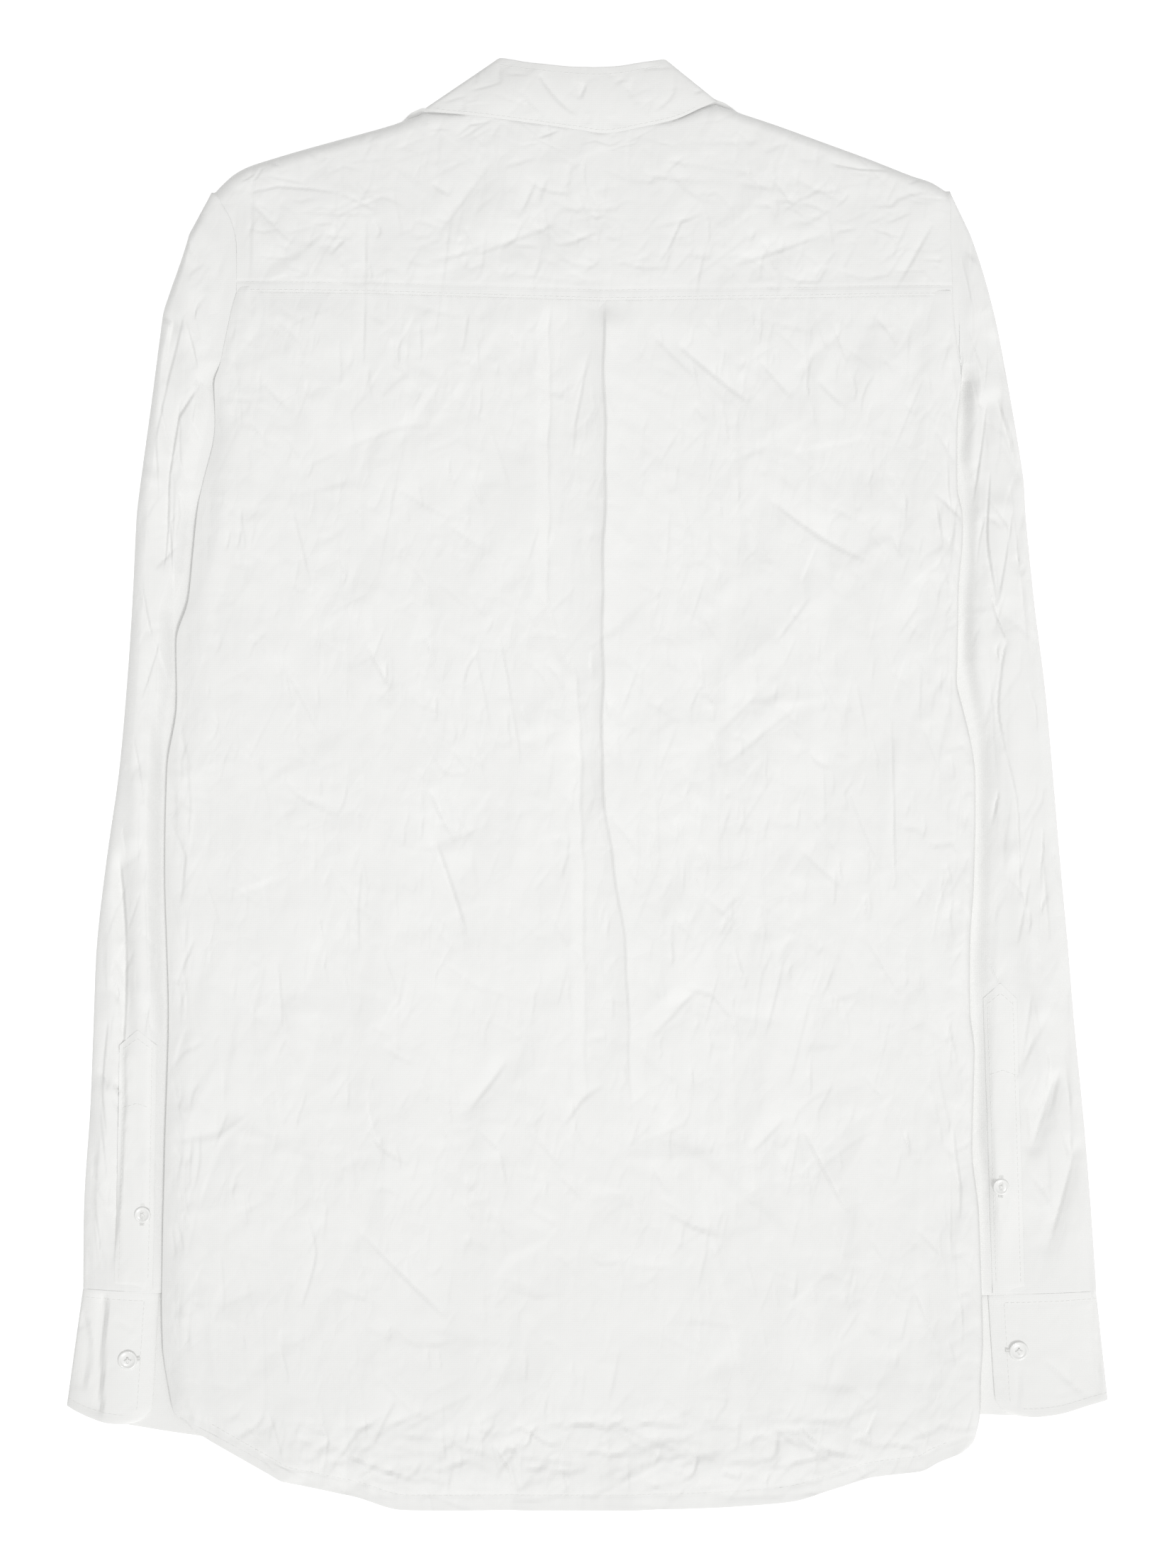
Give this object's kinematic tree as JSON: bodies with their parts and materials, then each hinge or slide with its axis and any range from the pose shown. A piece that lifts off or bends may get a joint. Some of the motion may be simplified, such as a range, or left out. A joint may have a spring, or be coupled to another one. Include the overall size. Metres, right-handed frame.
{
  "type": "crumpled shirt",
  "caption": "Crumpled long-sleeved shirt laid flat on its front, with a band collar, a yoke, a centre back pleat, a curved hem and buttoned cuffs.",
  "frame": {"origin": "bottom centre of the bounding box, on the surface that the shirt lies on", "axes": "+X towards the wearer's right sleeve, +Y up the back towards the collar, +Z out of the back, away from the surface"},
  "size_m": [0.6032, 0.84, 0.0128],
  "materials": {
    "cloth": "matte white cotton poplin, crumpled",
    "bands": "matte white cotton poplin, interlined and topstitched",
    "buttons": "glossy pearl white"
  },
  "bodies": {
    "root": {"back": "cloth", "yoke": "cloth", "front_left": "cloth", "front_right": "cloth", "sleeve_left": "cloth", "sleeve_right": "cloth", "collar": "bands", "front_placket": "bands", "cuff_left": "bands", "cuff_right": "bands", "sleeve_placket_left": "bands", "sleeve_placket_right": "bands", "placket_button_left": "buttons", "placket_button_right": "buttons", "cuff_button_left": "buttons", "cuff_button_right": "buttons", "collar_button": "buttons", "front_button_1": "buttons", "front_button_2": "buttons", "front_button_3": "buttons", "front_button_4": "buttons", "front_button_5": "buttons", "front_button_6": "buttons", "front_button_7": "buttons"}
  },
  "joints": []
}
